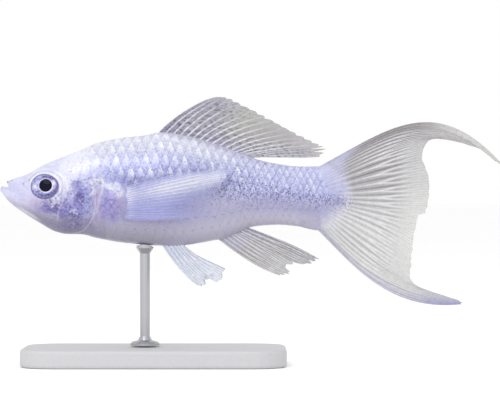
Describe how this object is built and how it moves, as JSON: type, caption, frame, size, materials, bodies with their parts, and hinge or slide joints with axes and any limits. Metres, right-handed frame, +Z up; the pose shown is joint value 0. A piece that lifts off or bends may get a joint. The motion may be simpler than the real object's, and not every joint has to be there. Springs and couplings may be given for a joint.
{
  "type": "model fish",
  "caption": "Life-size model of a lyretail sailfin molly swimming level, with spread ribbed fins, held above a flat rounded base by one short rod.",
  "frame": {"origin": "on the floor, at the middle of the bounding box of fish and base seen from above", "axes": "+X from the fish's snout towards its tail, +Y towards its right side, +Z up; the camera side of the picture is -Y, the fish's left side"},
  "size_m": [0.1101, 0.032, 0.0591],
  "materials": {
    "skin": "satin, pearly",
    "fins": "satin",
    "eyes": "gloss",
    "rod": "satin",
    "base": "matte"
  },
  "bodies": {
    "root": {"head": "skin", "lower_jaw": "skin", "gill_cover_left": "skin", "gill_cover_right": "skin", "trunk": "skin", "tail_stalk": "skin", "eye_left": "eyes", "eye_right": "eyes", "dorsal_fin": "fins", "tail_fin_upper_lobe": "fins", "tail_fin_fan": "fins", "tail_fin_lower_lobe": "fins", "anal_fin": "fins", "pelvic_fin_left": "fins", "pelvic_fin_right": "fins", "pectoral_fin_left": "fins", "pectoral_fin_right": "fins", "stand_rod": "rod", "stand_base": "base"}
  },
  "joints": []
}
